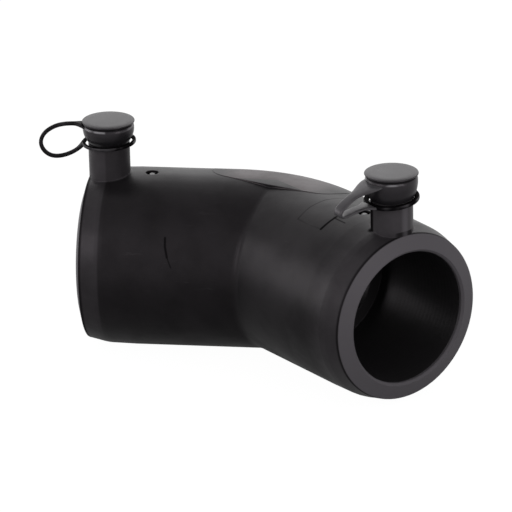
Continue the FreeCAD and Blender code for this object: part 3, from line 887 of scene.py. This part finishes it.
def ring_grid(leg, turns=96, sides=20):
    """A rounded band carried round the terminal, and tilted down on the strap's side."""
    angle = around(turns)
    round_side = around(sides).T
    half_wall = (RING_RADIUS - RING_BORES[leg]) / 2
    radius = RING_RADIUS - half_wall + half_wall * squarish(np.cos(round_side), RING_SQUARENESS)
    out = radius * np.cos(angle)
    across = radius * np.sin(angle)
    height = RING_HALF_HEIGHTS[leg] * squarish(np.sin(round_side), RING_SQUARENESS) + 0 * angle
    tilt = RING_TILTS[leg]
    tilted_out = out * math.cos(tilt) + height * math.sin(tilt)
    tilted_height = height * math.cos(tilt) - out * math.sin(tilt)
    return on_terminal(leg, tilted_out, across, RING_HEIGHTS[leg] + tilted_height)


print("ring A's band is", round(RING_RADIUS - RING_BORES["a"], 2), "mm thick")

# %% [markdown]
# ### Straps
# A strap leaves its head, bends round in a loop and comes back to its ring. A bevelled curve would
# thicken where it widens, so a section of its own is carried along. A spline through a few chosen
# points keeps the loop free of corners.

# %% Straps
# Each point is a reach and a height.
LOOPS = {
    "a": [(6.4, 41.5), (8.2, 42.15), (10.4, 42.45), (13.2, 42.35), (16.2, 41.6), (19.1, 39.7), (20.5, 37.1),
          (20.1, 34.6), (18.3, 32.7), (15.7, 32.1), (12.7, 32.7), (10.2, 33.9), (8.7, 35.1), (7.7, 36.3)],
    "b": [(6.4, 41.2), (8.6, 40.6), (11.2, 39.8), (13.9, 38.8), (16.6, 37.4), (18.5, 35.9), (18.9, 34.5),
          (17.6, 33.9), (15.2, 34.2), (12.6, 34.6), (10.3, 34.8), (8.8, 34.8), (7.7, 34.65)],
}
# Half of the strap's thickness and half of its width.
STRAP_HALVES = {"a": (0.62, 0.62), "b": (0.48, 1.9)}
# How much wider the strap is to each side at its head, and how far along it that lasts.
ROOT_FLARES = {"a": (2.2, 4.5), "b": (2.6, 8.0)}
RING_FLARE = 1.5
# The head's flare is full to here, and the ring's runs between these distances from the strap's end.
HEAD_HOLD = 0.5
RING_RUN = (3.2, 0.2)
STRAP_SQUARENESS = 0.7


def smooth_line(points, steps):
    """A natural cubic spline through points that are evenly spaced in its parameter.

    Its second derivatives solve a system with 4 on the diagonal and 1 beside it, and are 0 at the ends.
    """
    way = np.array(points, dtype=float)
    count = len(way)
    system = 4 * np.eye(count) + np.eye(count, k=1) + np.eye(count, k=-1)
    system[0] = system[-1] = 0
    system[0, 0] = system[-1, -1] = 1
    right = np.zeros_like(way)
    right[1:-1] = 6 * (way[2:] - 2 * way[1:-1] + way[:-2])
    bend = np.linalg.solve(system, right)
    at = np.linspace(0, count - 1, steps)
    knot = np.minimum(at.astype(int), count - 2)
    t = (at - knot)[:, None]
    straight = (1 - t) * way[knot] + t * way[knot + 1]
    low = ((1 - t) ** 3 - (1 - t)) * bend[knot] / 6
    high = (t ** 3 - t) * bend[knot + 1] / 6
    return straight + low + high


def strap_grid(leg, steps=110, sides=20):
    """A flattened round section carried along the loop, wider where it joins the head and the ring."""
    line = smooth_line(LOOPS[leg], steps)
    way = np.gradient(line, axis=0)
    way = way / np.linalg.norm(way, axis=1, keepdims=True)
    normal = np.stack([-way[:, 1], way[:, 0]], axis=1)
    run = np.concatenate([[0], np.cumsum(np.linalg.norm(np.diff(line, axis=0), axis=1))])
    thick, wide = STRAP_HALVES[leg]
    flare, flare_end = ROOT_FLARES[leg]
    at_head = flare * (1 - smooth(HEAD_HOLD, flare_end, run))
    at_ring = RING_FLARE * smooth(run[-1] - RING_RUN[0], run[-1] - RING_RUN[1], run)
    angle = around(sides).T
    up = thick * squarish(np.cos(angle), STRAP_SQUARENESS)
    across = (wide + at_head + at_ring)[:, None] * squarish(np.sin(angle), STRAP_SQUARENESS)
    out = line[:, :1] + up * normal[:, :1]
    height = line[:, 1:] + up * normal[:, 1:]
    return on_terminal(leg, out, across, height)


def one_point_ends(grid):
    """Closes a tube by drawing each end section together into its middle."""
    first = grid[:1].mean(axis=1, keepdims=True) + 0 * grid[:1]
    last = grid[-1:].mean(axis=1, keepdims=True) + 0 * grid[-1:]
    return np.concatenate([first, grid, last], axis=0)


print("strap A's loop runs through", len(LOOPS["a"]), "points")

# %% Put the caps together
for leg in ("a", "b"):
    node = "terminal_cap_" + leg
    body = "cap_" + leg
    strap = one_point_ends(strap_grid(leg))
    new_piece("cap_head_" + leg, head_grid(leg), cap_plastic, body, replaced=node)
    new_piece("cap_ring_" + leg, ring_grid(leg), ring_painted_shade_plastic, body, round_rows=True, replaced=node)
    new_piece("cap_strap_" + leg, strap, strap_plastics[leg], body, replaced=node)

# %% [markdown]
# ## Lamps
# Black plastic shows little but what it reflects. Small lamps would leave only hard glints on it, so
# soft rectangles of light stand behind, on both sides in front, and low on the left.

# %% Lamps
MIDDLE = (0.055, -0.015, 0.0)
# Each lamp's place, its width and height, and its power in watts.
LAMPS = {
    "behind": ((0.05, 1.1, 0.60), (1.4, 0.6), 2.6),
    "left_front": ((-0.75, -0.80, 0.55), (0.45, 0.7), 3.0),
    "right_front": ((0.95, -0.70, 0.40), (0.45, 0.7), 3.2),
    "left_side": ((-1.25, 0.15, 0.28), (0.7, 0.6), 3.0),
}


def softbox(name, place, size, power):
    """A rectangular area lamp that faces the elbow's middle."""
    light = bpy.data.lights.new(name, "AREA")
    light.shape = "RECTANGLE"
    light.size, light.size_y = size
    light.energy = power
    lamp = bpy.data.objects.new(name, light)
    turn = (Vector(MIDDLE) - Vector(place)).to_track_quat("-Z", "Y")
    lamp.matrix_world = Matrix.Translation(place) @ turn.to_matrix().to_4x4()
    bpy.context.scene.collection.objects.link(lamp)
    radiance = power / (math.pi * size[0] * size[1])
    print(name, "shines", round(radiance, 2), "times white")


for name, (place, size, power) in LAMPS.items():
    softbox(name, place, size, power)

# %% [markdown]
# ## World and floor
# A plain white world would wash the black plastic out. Light Path lets the sweep look white to the
# camera and light the object only dimly. Mirrored in the plastic it is pale too, but darker overhead,
# as a real ceiling is, and on the floor close to the object. The floor lets a little of its paper
# through, which keeps the object's soft shadow.

# %% World
WHITE = (1, 1, 1, 1)
DIM_STRENGTH = 0.5
# The upward part of a direction at which the dark ceiling begins and is full, and how dark it is.
CEILING = (0.70, 0.95)
CEILING_SHADE = 0.7


def white_where_seen(recipe, dim, white, to_camera, to_mirrors):
    """Mixes a dim shader with a white one, of which sight and mirrors see set shares."""
    path = recipe.node("ShaderNodeLightPath")
    mirrors = path["Is Glossy Ray"] + path["Is Transmission Ray"]
    seen = path["Is Camera Ray"] * to_camera + mirrors * to_mirrors
    return recipe.node("ShaderNodeMixShader", None, [seen, dim, white])["Shader"]


def studio_world():
    """A dim even world that looks white, apart from its ceiling."""
    recipe = Recipe(bpy.data.worlds.new("studio"))
    dim = recipe.node("ShaderNodeBackground", None, {"Color": WHITE, "Strength": DIM_STRENGTH})
    bright = recipe.node("ShaderNodeBackground", None, {"Color": WHITE, "Strength": 1.0})
    way = recipe.node("ShaderNodeTexCoord")["Generated"]
    ceiling = recipe.along(way, ORIGIN, UP).rise(*CEILING)
    both = white_where_seen(
        recipe, dim["Background"], bright["Background"], 1.0, 1 - ceiling * CEILING_SHADE)
    return recipe.finish(both, "ShaderNodeOutputWorld")


bpy.context.scene.world = studio_world()

# %% Floor
FLOOR_HEIGHT = cad_low.z
FLOOR_HALF = 4.0
PAPER = (0.44, 0.44, 0.44, 1)
GLOW_STRENGTH = 1.15
CAMERA_SHARE = 0.85
# Mirrors see this share of the glow near the object, and more of it from these distances on.
NEAR_SHARE = 0.14
AWAY_SHARE = 0.60
AWAY = (0.10, 0.25)


def white_floor():
    """Pale paper that looks white, and mirrors darker near the object."""
    recipe = new_recipe("white_floor")
    paper = recipe.node("ShaderNodeBsdfDiffuse", None, {"Color": PAPER})["BSDF"]
    glow = recipe.node("ShaderNodeEmission", None, {"Strength": GLOW_STRENGTH})["Emission"]
    away = recipe.from_upright(recipe.place(), MIDDLE).rise(*AWAY)
    both = white_where_seen(recipe, paper, glow, CAMERA_SHARE, NEAR_SHARE + away * AWAY_SHARE)
    return recipe.finish(both)


floor_mesh = bpy.data.meshes.new("floor")
corners = [(-FLOOR_HALF, -FLOOR_HALF), (FLOOR_HALF, -FLOOR_HALF),
           (FLOOR_HALF, FLOOR_HALF), (-FLOOR_HALF, FLOOR_HALF)]
floor_mesh.from_pydata([(x, y, FLOOR_HEIGHT) for x, y in corners], [], [(0, 1, 2, 3)])
floor_mesh.materials.append(white_floor())
floor = bpy.data.objects.new("floor", floor_mesh)
bpy.context.scene.collection.objects.link(floor)

# %% [markdown]
# ## View transform
# Blender's default view transform would grey the white floor, so the plain one is set.

# %% View transform
scene = bpy.context.scene
scene.view_settings.view_transform = "Standard"
